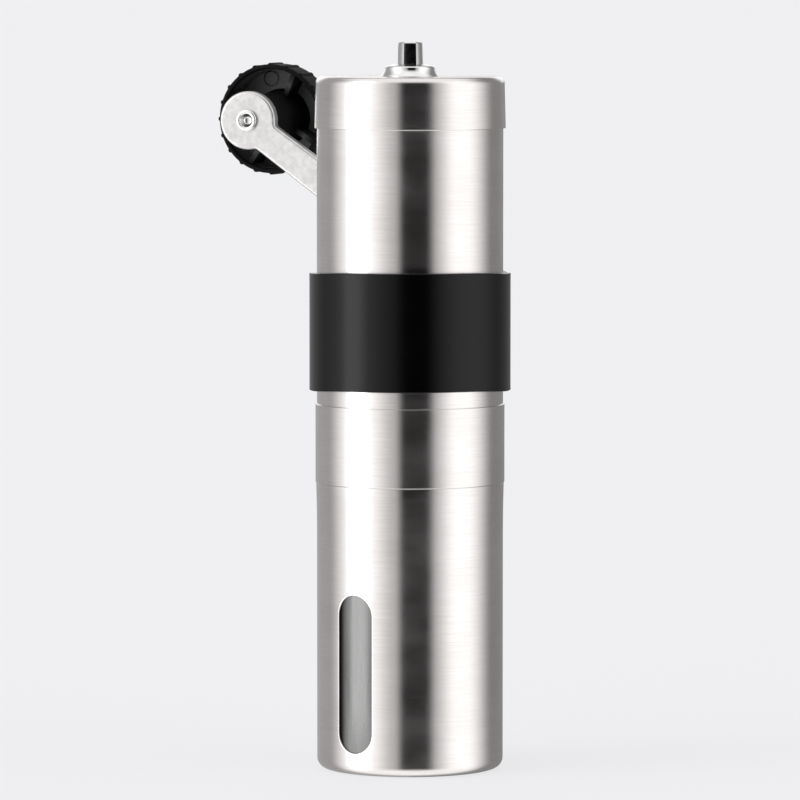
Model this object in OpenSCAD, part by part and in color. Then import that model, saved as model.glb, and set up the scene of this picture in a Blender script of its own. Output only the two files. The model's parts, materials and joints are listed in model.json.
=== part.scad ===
// Slim hand coffee grinder: a steel grounds chamber with a window, a steel hopper tube
// with a ceramic cone-burr mill in its foot, a lid with a polished shaft collar, a rubber
// grip band, and a crank with a mushroom knob stowed under the back of the band.
// Millimetres. +Z is up, the front is -Y, and the origin is the centre of the base.

/* [Grounds chamber] */
// Outer radius of the grounds chamber
chamber_r = 25.4; // [25.3:0.05:25.5]
// Height of the chamber, which is the height of the seam below the mill ring
chamber_h = 78.4; // [77.5:0.1:78.6]
// Steel wall of the chamber
chamber_wall = 0.7; // [0.6:0.05:0.8]
// Rounding of the chamber's bottom edge
foot_fillet = 2.8; // [2:0.1:3]
// How much wider the chamber is at its mouth, on the radius
mouth_flare = 0.22; // [0.1:0.02:0.25]

/* [Window] */
// Turn of the window from the front, towards -X
window_turn = 37; // [30:1:45]
// Width of the window slot
window_w = 11; // [9:0.5:12]
// Height of the slot's lower end above the floor
window_bottom = 6.1; // [5:0.1:8]
// Height of the slot's upper end above the floor
window_top = 49; // [44:0.5:50]

/* [Hopper and grip] */
// Outer radius of the hopper tube
tube_r = 25.4; // [25.35:0.01:25.42]
// Steel wall of the hopper tube
tube_wall = 0.6; // [0.5:0.05:0.65]
// Outer radius of the mill ring
ring_r = 25.8; // [25.7:0.05:26]
// Height of the mill ring's top edge
ring_top = 100.1; // [99:0.1:101]
// Height of the grip band's lower edge
band_bottom = 103.6; // [102:0.1:105]
// Height of the grip band's upper edge
band_top = 135.6; // [134:0.1:136]
// Thickness of the grip band
band_t = 2.07; // [1.8:0.01:2.3]

/* [Lid and shaft] */
// Height of the lid's top above the floor
lid_top = 189; // [187:0.05:190]
// Depth of the lid's skirt, from the lid's top
lid_skirt = 14.1; // [12:0.05:15]
// Outer radius of the lid's skirt at its lower edge
lid_r = 26.07; // [26:0.01:26.2]
// Height of the collar above the lid
collar_h = 3.3; // [3:0.01:4]
// Corner radius of the hexagonal drive end
hex_r = 3.66; // [3.5:0.01:3.7]
// Height of the drive end's tip above the lid
hex_tip = 9.27; // [9:0.01:12]

/* [Mill] */
// Radius of the inner burr at its base
burr_r = 15; // [14.5:0.1:15.1]
// Radius of the inner burr at its top
burr_top_r = 8.6; // [8:0.1:9]
// Gap between the burrs at the finest setting
burr_gap = 0.35; // [0.3:0.01:0.5]
// Number of coarse teeth on each burr
coarse_teeth = 14; // [10:1:16]
// Number of fine teeth on each burr
fine_teeth = 28; // [20:1:32]
// Travel of the inner burr between its finest and coarsest settings
burr_travel = 1.5; // [1:0.1:2]

/* [Crank and knob] */
// Distance from the crank's hub to the knob's axis
crank_l = 86; // [80:0.5:90]
// Rise of the knob end over the hub
crank_rise = 15.7; // [14:0.1:16]
// Thickness of the crank's plate
plate_t = 3; // [2.8:0.1:3.2]
// Turn of the stowed crank about the grinder's axis, from straight back
stow_turn = 19.5; // [18:0.5:21]
// Slope of the stowed crank
stow_slope = 35.4; // [34:0.2:37]
// Sideways distance of the stowed hub from the middle of the back
hub_side = 6.84; // [6:0.02:7]
// Height of the stowed hub
hub_z = 125.5; // [125:0.1:126]
// Outer radius of the knob, over its ridges
knob_r = 15.95; // [15:0.05:16.5]
// Number of ridges round the knob
knob_ridges = 20; // [12:1:24]

/* [Hidden] */
$fn = 96;
cut = 0.5;              // how far a cutting tool runs past the face it opens
fit = 0.08;             // radial clearance of a running or sliding fit
body_gap = 0.3;         // clearance between bodies that move past each other

// Grounds chamber
flare_start = chamber_h - 16;
flare_mid = chamber_h - 5;
mouth_r = chamber_r + mouth_flare;
pane_t = 1.2;
pane_r = chamber_r - chamber_wall - 0.02;
pane_spread = 40;
pane_margin = 3;

// Hopper tube and mill ring
tube_in = tube_r - tube_wall;
ring_lip = 0.9;
tube_bottom = chamber_h + ring_lip;
lid_plate = 0.7;
lid_fillet = 2;
lid_in_fillet = 1.4;
lid_top_r = lid_r - 0.35;
tube_end = lid_top - 2.1;

// Burr housing, from its lower edge up
skirt_r = chamber_r - chamber_wall - body_gap;
skirt_wall = 1.5;
skirt_bottom = chamber_h - 11;
barrel_r = 20.8;
barrel_in = 19;
barrel_bottom = chamber_h - 12.5;
web_bottom = chamber_h + 10.4;
web_top = chamber_h + 12.9;
funnel_top = ring_top - 0.5;
hub_bottom = web_top - 1;
hub_top = hub_bottom + 7.5;
hub_r = 7;
seal_r = 0.8;
seal_z = chamber_h - 6;

// Burrs
outer_bottom = chamber_h - 11.1;
outer_top = chamber_h + 8.9;
outer_r = 18.8;
inner_bottom = outer_bottom - 1;
inner_top = inner_bottom + 18;
fine_h = 3;
tooth = 1.1;
fine_tooth = 0.55;
burr_bore = 6.1;
cone_slope = atan((burr_r - burr_top_r) / (inner_top - inner_bottom - fine_h));

// Shaft
rod_r = 3;
thread_r = 2.5;
flat_half = 2.5;
journal_r = 3.77;
thread_top = inner_bottom - 2;
flats_top = hub_bottom - 2;
journal_bottom = lid_top - 7;
hex_bottom = lid_top + 2.5;
bush_flange = 1;
clip_t = 0.8;
clip_z = hub_top + bush_flange + body_gap;
washer_t = 0.8;
washer_z = hub_bottom - body_gap - washer_t;
seat_z = inner_top - 6;
spring_r = 4.6;
spring_wire = 0.45;
spring_turns = 5;

// Adjusting dial
carrier_bottom = inner_bottom - 3.4;
click_t = 1.2;
click_z = carrier_bottom - 0.8 - click_t;
dial_h = 8;
dial_z = click_z - dial_h;
dial_r = 11;
// The thread ends just inside the dial at the coarsest setting
shaft_bottom = dial_z - burr_travel + 0.9;
nut_r = 4.6;

// Crank, in its own frame: the hub is at the origin, +X runs to the knob, +Z is the knob's axis
hub_disc_r = 8;
knob_disc_r = 8.2;
arm_w_hub = 10;
arm_w_knob = 8.5;
arm_w_bend = 8.3;
arm_shift = 0.8;
bend_start = 36;
bend_end = 54;
bend_shift = plate_t / 2 * tan(atan(crank_rise / (bend_end - bend_start)) / 2);
socket_r = 6.2;
socket_proud = 2.5;
socket_hex_r = hex_r + 0.24;
pin_r = 2.7;
pin_hole = 1.8;
pin_flare_r = 3.05;
pin_flare_h = 1;
plate_top = crank_rise + plate_t / 2;
knob_rim = plate_top + 15.5;
knob_side_r = knob_r - 0.45;
knob_shoulder = knob_rim + 10.5;
knob_top = knob_rim + 16;
knob_dome_r = (pow(knob_side_r, 2) + pow(knob_top - knob_shoulder, 2)) / (2 * (knob_top - knob_shoulder));
knob_wall = 1.3;
knob_ceiling = knob_rim + 10;
stem_foot = plate_top + washer_t + body_gap;
rib_turn = -8;
head_z = knob_rim + 9;
head_r = 4.5;
head_t = 1.2;
cap_z = knob_rim + 12.6;

// Where the stowed crank lies
hub_back = tube_r + body_gap + plate_t / 2;
back_dir = [sin(stow_turn), cos(stow_turn)];
side_dir = [cos(stow_turn), -sin(stow_turn)];
hub_xy = hub_back * back_dir + hub_side * side_dir;

// Pocket of the grip band round the stowed hub: [sideways, backwards] corners
pocket = [[15.3, hub_back + plate_t / 2 + body_gap],
    [13.4, hub_back + plate_t / 2 + socket_proud + body_gap],
    [0.2, hub_back + plate_t / 2 + socket_proud + body_gap],
    [-16.4, hub_back + plate_t / 2 + body_gap]];

// Point p moved outwards from the axis by d
function pushed(p, d) = p * (norm(p) + d) / norm(p);

// Point where the line from p touches the circle of radius r, on the given side
function touch(p, r, side) =
    let (a = atan2(p.y, p.x) + side * acos(r / norm(p))) r * [cos(a), sin(a)];

// Ring between two radii and two heights
module ring(r_in, r_out, bottom, top) {
    difference() {
        translate([0, 0, bottom]) cylinder(r = r_out, h = top - bottom);
        translate([0, 0, bottom - cut]) cylinder(r = r_in, h = top - bottom + 2 * cut);
    }
}

// Half outline of a cup that stands on the floor line, with a rounded bottom edge
module cup_outline(r, h, fillet) {
    square([r - fillet, h]);
    translate([0, fillet]) square([r, h - fillet]);
    translate([r - fillet, fillet]) circle(fillet);
}

// Slot with round ends, cut from the axis outwards at an angle from the front
module slot_cutter(turn, width, bottom, top) {
    rotate([0, 0, -turn]) rotate([90, 0, 0]) linear_extrude(chamber_r + 5) {
        translate([-width / 2, bottom + width / 2]) square([width, top - bottom - width]);
        translate([0, bottom + width / 2]) circle(width / 2);
        translate([0, top - width / 2]) circle(width / 2);
    }
}

module chamber() {
    color("#c9c9c7") difference() {
        rotate_extrude() difference() {
            union() {
                cup_outline(chamber_r, flare_start, foot_fillet);
                polygon([[0, flare_start], [chamber_r, flare_start],
                    [chamber_r + 0.4 * mouth_flare, flare_mid], [mouth_r, chamber_h],
                    [0, chamber_h]]);
            }
            translate([0, chamber_wall]) cup_outline(chamber_r - chamber_wall,
                flare_start, foot_fillet - chamber_wall);
            polygon([[0, flare_start - cut], [chamber_r - chamber_wall, flare_start - cut],
                [chamber_r - chamber_wall, flare_start],
                [chamber_r + 0.4 * mouth_flare - chamber_wall, flare_mid],
                [mouth_r - chamber_wall, chamber_h], [0, chamber_h + cut]]);
        }
        slot_cutter(window_turn, window_w, window_bottom, window_top);
    }
}

module window_pane() {
    color("#d8dde0", 0.4) rotate([0, 0, 270 - window_turn - pane_spread / 2])
        rotate_extrude(angle = pane_spread)
        translate([pane_r - pane_t, window_bottom - pane_margin])
        square([pane_t, window_top - window_bottom + 2 * pane_margin]);
}

module hopper_tube() {
    color("#c9c9c7") ring(tube_in, tube_r, tube_bottom, tube_end);
}

module mill_ring() {
    color("#bfbfbd") {
        ring(tube_r + 0.03, ring_r, tube_bottom, ring_top);
        ring(tube_in - 0.05, ring_r, chamber_h, tube_bottom);
    }
}

// Moulded carrier of the mill: a skirt that plugs into the chamber, a barrel that holds
// the outer burr, a funnel above, and a three-armed spider with the shaft's hub
module burr_housing() {
    upper_r = tube_in - 0.1;
    color("#1c1c1c") difference() {
        union() {
            rotate_extrude() {
                polygon([[skirt_r - skirt_wall, skirt_bottom], [skirt_r, skirt_bottom],
                    [skirt_r, chamber_h], [upper_r, chamber_h], [upper_r, funnel_top],
                    [upper_r - 0.8, funnel_top], [barrel_in, web_top], [barrel_in, web_bottom],
                    [skirt_r - skirt_wall, web_bottom]]);
                translate([barrel_in, barrel_bottom])
                    square([barrel_r - barrel_in, web_top - barrel_bottom]);
            }
            for (i = [0:5]) rotate([0, 0, 60 * i + 30])
                translate([barrel_r - 0.4, -0.7, skirt_bottom + 1])
                cube([skirt_r - skirt_wall - barrel_r + 0.8, 1.4, web_bottom - skirt_bottom]);
            for (i = [0:2]) rotate([0, 0, 120 * i + 90])
                translate([hub_r - 1, -2, hub_bottom + 0.8])
                cube([barrel_in - hub_r + 1.6, 4, 3.4]);
            translate([0, 0, hub_bottom]) cylinder(r = hub_r, h = hub_top - hub_bottom);
        }
        translate([0, 0, hub_bottom - cut]) cylinder(r = 4.6, h = hub_top - hub_bottom + 2 * cut);
        rotate_extrude() translate([skirt_r, seal_z]) circle(seal_r + 0.02);
    }
}

// Soft ring that grips the chamber's mouth
module housing_seal() {
    color("#3a3a3a") rotate_extrude() translate([skirt_r + 0.05, seal_z]) intersection() {
        circle(seal_r);
        translate([-2, -1]) square([2.25, 2]);
    }
}

// V grooves that follow a wall of the given slope, leaning sideways like a screw's thread
module tooth_grooves(count, r, z, length, size, slope, lean) {
    for (i = [0:count - 1]) rotate([0, 0, 360 * i / count]) translate([r, 0, z])
        rotate([0, slope, 0]) rotate([lean, 0, 0])
        cylinder(r = size, h = length, center = true, $fn = 4);
}

module outer_burr() {
    mouth = burr_r + burr_gap + 1.9;
    wall_slope = atan(1.9 / (outer_top - outer_bottom - fine_h));
    color("#ece7da") difference() {
        rotate_extrude() polygon([[burr_r + burr_gap, outer_bottom], [outer_r, outer_bottom],
            [outer_r, outer_top], [mouth, outer_top],
            [burr_r + burr_gap, outer_bottom + fine_h]]);
        tooth_grooves(coarse_teeth, (mouth + burr_r + burr_gap) / 2,
            (outer_top + outer_bottom + fine_h) / 2, 22, tooth, wall_slope, -18);
        tooth_grooves(fine_teeth, burr_r + burr_gap, outer_bottom, 2 * fine_h, fine_tooth, 0, 0);
    }
}

// Ring that is turned into the barrel's foot to hold the outer burr up
module burr_retainer() {
    color("#2a2a2a") difference() {
        ring(burr_r + burr_gap + 0.6, barrel_in - 0.05, barrel_bottom - 0.6, outer_bottom);
        for (i = [0:2]) rotate([0, 0, 120 * i]) translate([barrel_in, 0, barrel_bottom - 1])
            cylinder(r = 1.5, h = 1.6);
    }
}

module shaft_bush() {
    color("#e6e2d6") {
        ring(rod_r + fit, 4.6, hub_bottom, hub_top);
        ring(rod_r + fit, 6.2, hub_top, hub_top + bush_flange);
    }
}

// Elastic band, stretched round the tube and over the stowed crank's hub
module band_outline(r, corners) {
    first = corners[0];
    last = corners[len(corners) - 1];
    circle(r);
    polygon(concat([[0, 0], touch(first, r - 0.2, -1)], corners, [touch(last, r - 0.2, 1)]));
}

module grip_band() {
    outer_corners = [for (p = pocket) pushed(p, band_t)];
    color("#161616") translate([0, 0, band_bottom]) rotate([0, 0, -stow_turn])
        linear_extrude(band_top - band_bottom) difference() {
            band_outline(tube_r + 0.03 + band_t, outer_corners);
            band_outline(tube_r + 0.03, pocket);
        }
}

module lid() {
    lid_in = tube_r + fit;
    color("#cfcfcd") rotate_extrude() difference() {
        union() {
            polygon([[0, lid_top - lid_skirt], [lid_r, lid_top - lid_skirt],
                [lid_top_r, lid_top - lid_fillet], [0, lid_top - lid_fillet]]);
            square_top = lid_top - lid_fillet;
            translate([0, square_top]) square([lid_top_r - lid_fillet, lid_fillet]);
            translate([lid_top_r - lid_fillet, square_top]) intersection() {
                circle(lid_fillet);
                square(lid_fillet);
            }
        }
        translate([0, lid_top - lid_skirt - cut])
            square([lid_in, lid_skirt + cut - lid_plate - lid_in_fillet]);
        translate([0, lid_top - lid_skirt])
            square([lid_in - lid_in_fillet, lid_skirt - lid_plate]);
        translate([lid_in - lid_in_fillet, lid_top - lid_plate - lid_in_fillet])
            circle(lid_in_fillet);
        translate([0, lid_top - 2]) square([6.65, 4]);
    }
}

// Polished collar with a hollow flare, pushed through the lid
module lid_collar() {
    foot_r = 7.95;
    foot_h = 0.55;
    neck_r = 6.8;
    flare = 1.8;
    flare_z = lid_top + 2.2;
    crown = 0.65;
    edge = 0.15;
    rim = lid_top + collar_h - crown;
    bore_r = 4.15;
    color("#e4e4e2") rotate_extrude() difference() {
        union() {
            translate([0, lid_top - 4.4]) square([6.6, 5]);
            translate([0, lid_top]) square([foot_r, foot_h]);
            difference() {
                translate([0, lid_top + foot_h])
                    square([foot_r - 0.02, rim - edge - lid_top - foot_h]);
                translate([neck_r + flare, flare_z]) circle(flare);
                translate([neck_r, flare_z - 0.3]) square([flare, 4]);
            }
            polygon([[0, rim - edge], [neck_r, rim - edge], [neck_r - edge, rim],
                [bore_r, rim + crown], [0, rim + crown]]);
        }
        translate([0, lid_top - 5]) square([5.45, 7.3]);
        translate([0, lid_top - 5]) square([bore_r, 12]);
    }
}

// Moulded liner that centres the lid in the tube
module lid_liner() {
    plate_bottom = tube_end + 0.1;
    color("#202020") {
        ring(tube_in - body_gap - 1.2, tube_in - body_gap, tube_end - 6.9, plate_bottom);
        ring(6.65, 9, lid_top - 4.4, plate_bottom);
        ring(6.65, tube_in - body_gap - 0.3, plate_bottom, lid_top - lid_plate - 0.05);
        ring(tube_in - body_gap - 0.3, tube_r - 0.1, plate_bottom, plate_bottom + 0.5);
    }
}

module lid_bush() {
    color("#e6e2d6") ring(journal_r + fit, 5.4, lid_top - 4.4, lid_top + 2.2);
}

module drive_shaft() {
    color("#dcdcda") difference() {
        union() {
            translate([0, 0, shaft_bottom]) cylinder(r = thread_r, h = thread_top - shaft_bottom);
            for (z = [shaft_bottom + 1:1:thread_top - 1]) translate([0, 0, z])
                cylinder(r1 = thread_r - 0.25, r2 = thread_r, h = 0.5);
            translate([0, 0, thread_top]) cylinder(r = rod_r, h = journal_bottom - thread_top);
            translate([0, 0, journal_bottom])
                cylinder(r = journal_r, h = hex_bottom - journal_bottom);
            translate([0, 0, hex_bottom]) rotate([0, 0, 30])
                cylinder(r = hex_r, h = lid_top + hex_tip - hex_bottom, $fn = 6);
        }
        for (side = [-1, 1]) translate([side * (flat_half + 5), 0, (thread_top + flats_top) / 2])
            cube([10, 10, flats_top - thread_top], center = true);
        ring(2.55, 5, clip_z - 0.05, clip_z + clip_t + 0.05);
        translate([0, 0, lid_top + hex_tip - 1]) difference() {
            cylinder(r = 6, h = 3);
            translate([0, 0, -2]) cylinder(r1 = hex_r + 2, r2 = hex_r - 0.6, h = 3);
        }
    }
}

// Snap ring, open on one side
module shaft_clip() {
    color("#8f8f8f") difference() {
        ring(2.6, 5, clip_z, clip_z + clip_t);
        translate([0, -1.5, clip_z - cut]) cube([6, 3, clip_t + 2 * cut]);
    }
}

module thrust_washer() {
    color("#b5b5b3") ring(rod_r + 0.1, 6.8, washer_z, washer_z + washer_t);
}

// Helical spring between the thrust washer and the seat in the inner burr
module burr_spring() {
    sides = 8;
    per_turn = 20;
    low = seat_z + washer_t + spring_wire;
    high = washer_z - spring_wire;
    steps = spring_turns * per_turn;
    // The first and last half turns lie flat against the seats
    function lift(i) = low + (high - low)
        * min(1, max(0, (i - per_turn / 2) / (steps - per_turn)));
    points = [for (i = [0:steps], j = [0:sides - 1])
        let (a = 360 * i / per_turn, b = 360 * j / sides, r = spring_r + spring_wire * cos(b))
        [r * cos(a), r * sin(a), lift(i) + spring_wire * sin(b)]];
    walls = [for (i = [0:steps - 1], j = [0:sides - 1]) let (k = (j + 1) % sides)
        [i * sides + j, (i + 1) * sides + j, (i + 1) * sides + k, i * sides + k]];
    ends = [[for (j = [0:sides - 1]) j], [for (j = [0:sides - 1]) steps * sides + sides - 1 - j]];
    color("#9a9a98") polyhedron(points, concat(walls, ends));
}

module inner_burr() {
    color("#ece7da") difference() {
        rotate_extrude() polygon([[burr_bore, inner_bottom], [burr_r, inner_bottom],
            [burr_r, inner_bottom + fine_h], [burr_top_r, inner_top], [burr_bore, inner_top]]);
        tooth_grooves(coarse_teeth, (burr_r + burr_top_r) / 2,
            (inner_bottom + fine_h + inner_top) / 2, 24, tooth, -cone_slope, 22);
        tooth_grooves(fine_teeth, burr_r, inner_bottom, 2 * fine_h, fine_tooth, 0, 0);
    }
}

// Moulded core of the inner burr, keyed to the shaft's flats
module burr_carrier() {
    key_r = rod_r + fit;
    color("#202020") difference() {
        union() {
            translate([0, 0, carrier_bottom]) cylinder(r = 11, h = inner_bottom - carrier_bottom);
            translate([0, 0, inner_bottom]) cylinder(r = burr_bore - 0.04, h = seat_z - inner_bottom);
        }
        translate([0, 0, carrier_bottom - cut]) intersection() {
            cylinder(r = key_r, h = 40);
            translate([-flat_half - fit, -key_r, 0]) cube([2 * (flat_half + fit), 2 * key_r, 40]);
        }
        for (i = [0:11]) rotate([0, 0, 30 * i]) translate([8, 0, carrier_bottom])
            sphere(r = 0.6, $fn = 24);
    }
}

module spring_seat() {
    color("#b5b5b3") ring(rod_r + 0.1, burr_bore - 0.1, seat_z, seat_z + washer_t);
}

module adjust_dial() {
    color("#1c1c1c") difference() {
        union() {
            translate([0, 0, dial_z]) cylinder(r = dial_r, h = dial_h);
            translate([0, 0, dial_z + dial_h - 2]) cylinder(r = dial_r + 0.8, h = 2);
        }
        for (i = [0:7]) rotate([0, 0, 45 * i]) translate([dial_r + 1.6, 0, dial_z - cut])
            cylinder(r = 2.6, h = dial_h - 2 + cut);
        translate([0, 0, dial_z - cut]) difference() {
            cylinder(r = dial_r - 2.6, h = dial_h - 3 + cut);
            cylinder(r = nut_r + 1.6, h = dial_h);
        }
        translate([0, 0, dial_z - cut]) cylinder(r = nut_r + 0.05, h = dial_h - 1.5 + cut, $fn = 6);
        translate([0, 0, dial_z]) cylinder(r = rod_r + body_gap, h = dial_h + cut);
    }
}

module dial_nut() {
    color("#b08d3c") difference() {
        translate([0, 0, dial_z + 0.3]) cylinder(r = nut_r, h = dial_h - 1.85, $fn = 6);
        translate([0, 0, dial_z - cut]) cylinder(r = thread_r + 0.06, h = dial_h + 2 * cut);
    }
}

// Steel disc whose bumps click in the carrier's dimples
module click_disc() {
    color("#b5b5b3") {
        ring(rod_r + body_gap, 9.6, click_z, click_z + click_t);
        for (i = [0:2]) rotate([0, 0, 120 * i]) translate([8, 0, click_z + click_t])
            intersection() {
                sphere(r = 0.5, $fn = 24);
                translate([-1, -1, 0]) cube(2);
            }
    }
}

// Puts the crank's own frame where the stowed crank lies
module stowed() {
    translate([hub_xy.x, hub_xy.y, hub_z]) rotate([0, 0, -stow_turn]) rotate([-90, 0, 0])
        rotate([0, 0, 180 + stow_slope]) children();
}

// Stamped plate with a round hub, a Z bend and a round knob end
module crank_arm() {
    module plan() {
        circle(hub_disc_r);
        translate([crank_l, 0]) circle(knob_disc_r);
        translate([0, -arm_shift]) polygon([[0, -arm_w_hub / 2], [bend_end, -arm_w_bend / 2],
            [crank_l, -arm_w_knob / 2], [crank_l, arm_w_knob / 2],
            [bend_end, arm_w_bend / 2], [0, arm_w_hub / 2]]);
    }
    module side() {
        half = plate_t / 2;
        polygon([[-20, -half], [bend_start + bend_shift, -half],
            [bend_end + bend_shift, crank_rise - half], [crank_l + 20, crank_rise - half],
            [crank_l + 20, plate_top], [bend_end - bend_shift, plate_top],
            [bend_start - bend_shift, half], [-20, half]]);
    }
    color("#d2d2d0") stowed() difference() {
        intersection() {
            translate([0, 0, -5]) linear_extrude(plate_top + 10) plan();
            rotate([90, 0, 0]) translate([0, 0, -15]) linear_extrude(30) side();
        }
        translate([0, 0, -plate_t]) cylinder(r = socket_r, h = 2 * plate_t);
        translate([crank_l, 0, 0]) cylinder(r = pin_r, h = plate_top + cut);
    }
}

// Hexagonal sleeve that takes the shaft's drive end
module crank_socket() {
    color("#c4c4c2") stowed() difference() {
        translate([0, 0, -plate_t / 2]) cylinder(r = socket_r, h = plate_t + socket_proud);
        translate([0, 0, -plate_t]) cylinder(r = socket_hex_r, h = 4 * plate_t, $fn = 6);
    }
}

// Tubular rivet that the knob turns on, rolled over under the plate
module knob_pin() {
    foot = crank_rise - plate_t / 2;
    color("#c4c4c2") stowed() translate([crank_l, 0, 0]) difference() {
        union() {
            translate([0, 0, foot - pin_flare_h]) cylinder(r = pin_flare_r, h = pin_flare_h);
            translate([0, 0, foot]) cylinder(r = pin_r, h = head_z - foot);
            translate([0, 0, head_z]) cylinder(r = head_r, h = head_t);
        }
        translate([0, 0, foot - pin_flare_h - cut]) cylinder(r = pin_hole, h = 12);
    }
}

module knob_washer() {
    color("#b5b5b3") stowed() translate([crank_l, 0, 0])
        ring(pin_r + 0.02, 5.4, plate_top, plate_top + washer_t);
}

// Hollow mushroom knob: a ridged shell with a domed top, ribs and a flared stem
module knob() {
    color("#1a1a1a") stowed() translate([crank_l, 0, 0]) difference() {
        union() {
            difference() {
                union() {
                    rotate_extrude() intersection() {
                        translate([0, knob_top - knob_dome_r]) circle(knob_dome_r);
                        translate([0, knob_rim]) square([knob_side_r, knob_top - knob_rim]);
                    }
                    for (i = [0:knob_ridges - 1]) rotate([0, 0, 360 * i / knob_ridges])
                        translate([knob_r - 0.9, 0, knob_rim + 0.3])
                        cylinder(r = 0.9, h = knob_shoulder - knob_rim - 1.1);
                }
                translate([0, 0, knob_rim - cut])
                    cylinder(r = knob_side_r - knob_wall, h = knob_ceiling - knob_rim + cut);
            }
            rotate_extrude() polygon([[0, stem_foot], [5.6, stem_foot], [6.2, stem_foot + 7],
                [7.3, knob_rim], [7.8, knob_ceiling + 0.5], [0, knob_ceiling + 0.5]]);
            for (i = [0:3]) rotate([0, 0, 90 * i + rib_turn])
                translate([5, -0.7, knob_rim + 1.6])
                cube([knob_side_r - knob_wall - 4.5, 1.4, knob_ceiling - knob_rim - 1.2]);
        }
        translate([0, 0, stem_foot - cut]) cylinder(r = pin_r + 0.06, h = 30);
        translate([0, 0, head_z - 0.2]) cylinder(r = head_r + 0.4, h = 10);
    }
}

// Plug that covers the rivet's head in the top of the knob
module knob_cap() {
    color("#1a1a1a") stowed() translate([crank_l, 0, 0]) rotate_extrude() intersection() {
        translate([0, knob_top - knob_dome_r]) circle(knob_dome_r);
        translate([0, cap_z]) square([head_r + 0.35, 10]);
    }
}

chamber();
window_pane();
hopper_tube();
mill_ring();
burr_housing();
housing_seal();
outer_burr();
burr_retainer();
shaft_bush();
grip_band();
lid();
lid_collar();
lid_liner();
lid_bush();
drive_shaft();
shaft_clip();
thrust_washer();
burr_spring();
inner_burr();
burr_carrier();
spring_seat();
adjust_dial();
dial_nut();
click_disc();
crank_arm();
crank_socket();
knob_pin();
knob_washer();
knob();
knob_cap();
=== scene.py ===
"""Looks of a slim steel hand coffee grinder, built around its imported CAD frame.

Shapes are worked out in millimetres and scaled to metres as each mesh is made.
+Z is up, the front is -Y, and the grinder stands on the origin.
"""

import json
from math import asin, atan2, cos, degrees, hypot, pi, radians, sin, sqrt, tan

import bmesh
import bpy
from mathutils import Matrix, Vector


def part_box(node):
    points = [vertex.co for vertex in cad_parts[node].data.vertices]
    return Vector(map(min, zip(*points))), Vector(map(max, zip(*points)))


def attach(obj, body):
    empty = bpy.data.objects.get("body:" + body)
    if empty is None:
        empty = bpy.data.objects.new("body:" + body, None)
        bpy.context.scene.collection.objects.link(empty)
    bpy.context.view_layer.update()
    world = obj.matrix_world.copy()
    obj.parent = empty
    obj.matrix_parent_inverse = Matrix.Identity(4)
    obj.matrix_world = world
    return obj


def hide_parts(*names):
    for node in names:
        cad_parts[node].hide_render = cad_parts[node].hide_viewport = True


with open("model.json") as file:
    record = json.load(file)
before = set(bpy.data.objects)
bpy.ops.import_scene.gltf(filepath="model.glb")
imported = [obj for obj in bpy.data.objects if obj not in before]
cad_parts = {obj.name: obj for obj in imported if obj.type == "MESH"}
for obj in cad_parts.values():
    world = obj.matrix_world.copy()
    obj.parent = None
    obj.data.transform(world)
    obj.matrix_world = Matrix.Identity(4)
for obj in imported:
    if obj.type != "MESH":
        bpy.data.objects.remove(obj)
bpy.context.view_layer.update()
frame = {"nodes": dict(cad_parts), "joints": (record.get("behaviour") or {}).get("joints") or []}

MM = 0.001
STEPS = 192                 # columns round a turned piece
SHARP = radians(38)         # folds above this angle stay crisp


# ---------------------------------------------------------------- sizes from the frame, in mm

def corners(node):
    low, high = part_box(node)
    return low / MM, high / MM


def radius(node):
    return corners(node)[1].x


def bottom(node):
    return corners(node)[0].z


def top(node):
    return corners(node)[1].z


# The window slot, seen from the axis
SLOT_TURN = radians(37)
SLOT_HALF = 5.5
SLOT_LOW, SLOT_HIGH = 6.1, 49.0

# The crank's own frame: hub at the origin, X to the knob, Z along the knob's axis
spin = next(j for j in frame["joints"] if j["name"] == "knob_spin")
SOCKET_OUT, SOCKET_IN = 4.0, -1.5
axis_out = Vector(spin["axis"]).normalized()
socket_low, socket_high = corners("crank_socket")
hub = (socket_low + socket_high) / 2 - axis_out * (SOCKET_OUT + SOCKET_IN) / 2
reach = Vector(spin["pos_m"]) / MM - hub
rise = reach.dot(axis_out)
along = reach - axis_out * rise
crank_length = along.length
along.normalize()
across = axis_out.cross(along)
CRANK = Matrix.Translation(hub) @ Matrix((along, across, axis_out)).transposed().to_4x4()
KNOB = CRANK @ Matrix.Translation((crank_length, 0, 0))

PLATE = 3.0                 # thickness of the crank's plate
plate_out = rise + PLATE / 2
plate_in = rise - PLATE / 2


# ---------------------------------------------------------------- mesh helpers

def rounded(points, steps=5):
    """Outline through (x, y, fillet) corners, each rounded to its own radius."""
    outline = []
    for i, (x, y, fillet) in enumerate(points):
        here = Vector((x, y))
        if fillet == 0:
            outline.append((x, y))
            continue
        back = (Vector(points[i - 1][:2]) - here).normalized()
        ahead = (Vector(points[(i + 1) % len(points)][:2]) - here).normalized()
        half = back.angle(ahead) / 2
        centre = here + (back + ahead).normalized() * fillet / sin(half)
        start = here + back * fillet / tan(half) - centre
        end = here + ahead * fillet / tan(half) - centre
        first = atan2(start.y, start.x)
        sweep = atan2(start.cross(end), start.dot(end))
        for k in range(steps + 1):
            angle = first + sweep * k / steps
            outline.append((centre.x + fillet * cos(angle), centre.y + fillet * sin(angle)))
    return outline


def clamp(value):
    """Value kept between 0 and 1."""
    return min(max(value, 0.0), 1.0)


def ease(share):
    """Smooth step from 0 to 1."""
    return share * share * (3 - 2 * share)


def arc(centre, r, first, last, steps):
    """Points along a circle from one angle to another, both ends included."""
    turns = [first + (last - first) * k / steps for k in range(steps + 1)]
    return [centre + Vector((cos(a), sin(a))) * r for a in turns]


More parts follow.
